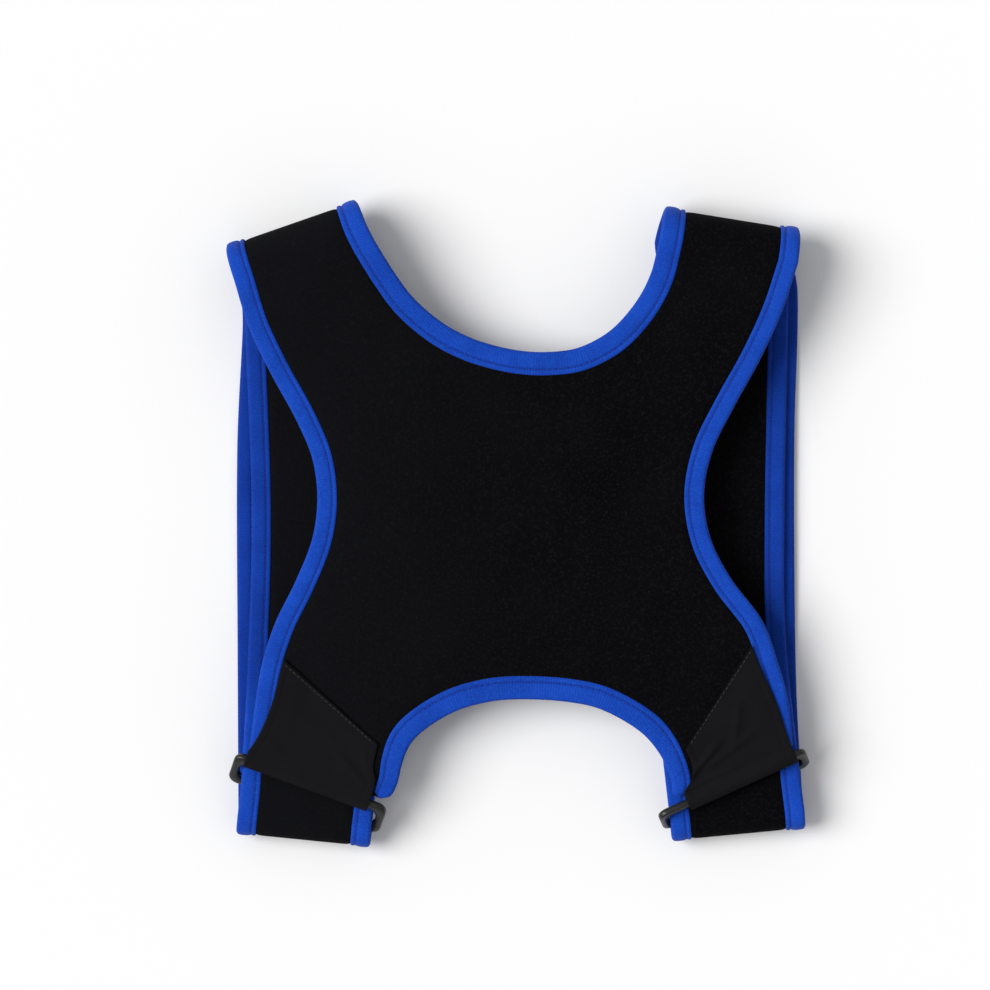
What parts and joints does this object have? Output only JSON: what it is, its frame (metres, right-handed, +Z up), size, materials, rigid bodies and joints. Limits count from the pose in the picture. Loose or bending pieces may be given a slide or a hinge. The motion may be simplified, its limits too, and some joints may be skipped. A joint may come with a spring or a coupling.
{
  "type": "posture corrector",
  "caption": "Neoprene back brace lying flat: X-shaped back panel, shoulder straps folded back under it and threaded through rings held in fabric gussets, all edges bound with knit tape.",
  "frame": {"origin": "centre of the footprint at table level", "axes": "+Z up off the table, +Y from the waist towards the neck, +X towards the right of the lying part seen from above"},
  "size_m": [0.3292, 0.365, 0.0402],
  "materials": {
    "neoprene": "matte fine-napped black jersey over neoprene foam",
    "edge_tape": "matte royal blue knit tape with topstitching",
    "gusset_fabric": "matte dark grey-black woven fabric",
    "ring_plastic": "semi-gloss black moulded plastic",
    "hook_tape": "matte black hook tape"
  },
  "bodies": {
    "root": {"back_panel": "neoprene", "shoulder_strap_left": "neoprene", "shoulder_strap_right": "neoprene", "binding_neck": "edge_tape", "binding_arch": "edge_tape", "binding_armhole_left": "edge_tape", "binding_armhole_right": "edge_tape", "gusset_left": "gusset_fabric", "gusset_right": "gusset_fabric", "ring_left": "ring_plastic", "ring_right": "ring_plastic", "hook_tab_left": "hook_tape", "hook_tab_right": "hook_tape"}
  },
  "joints": []
}
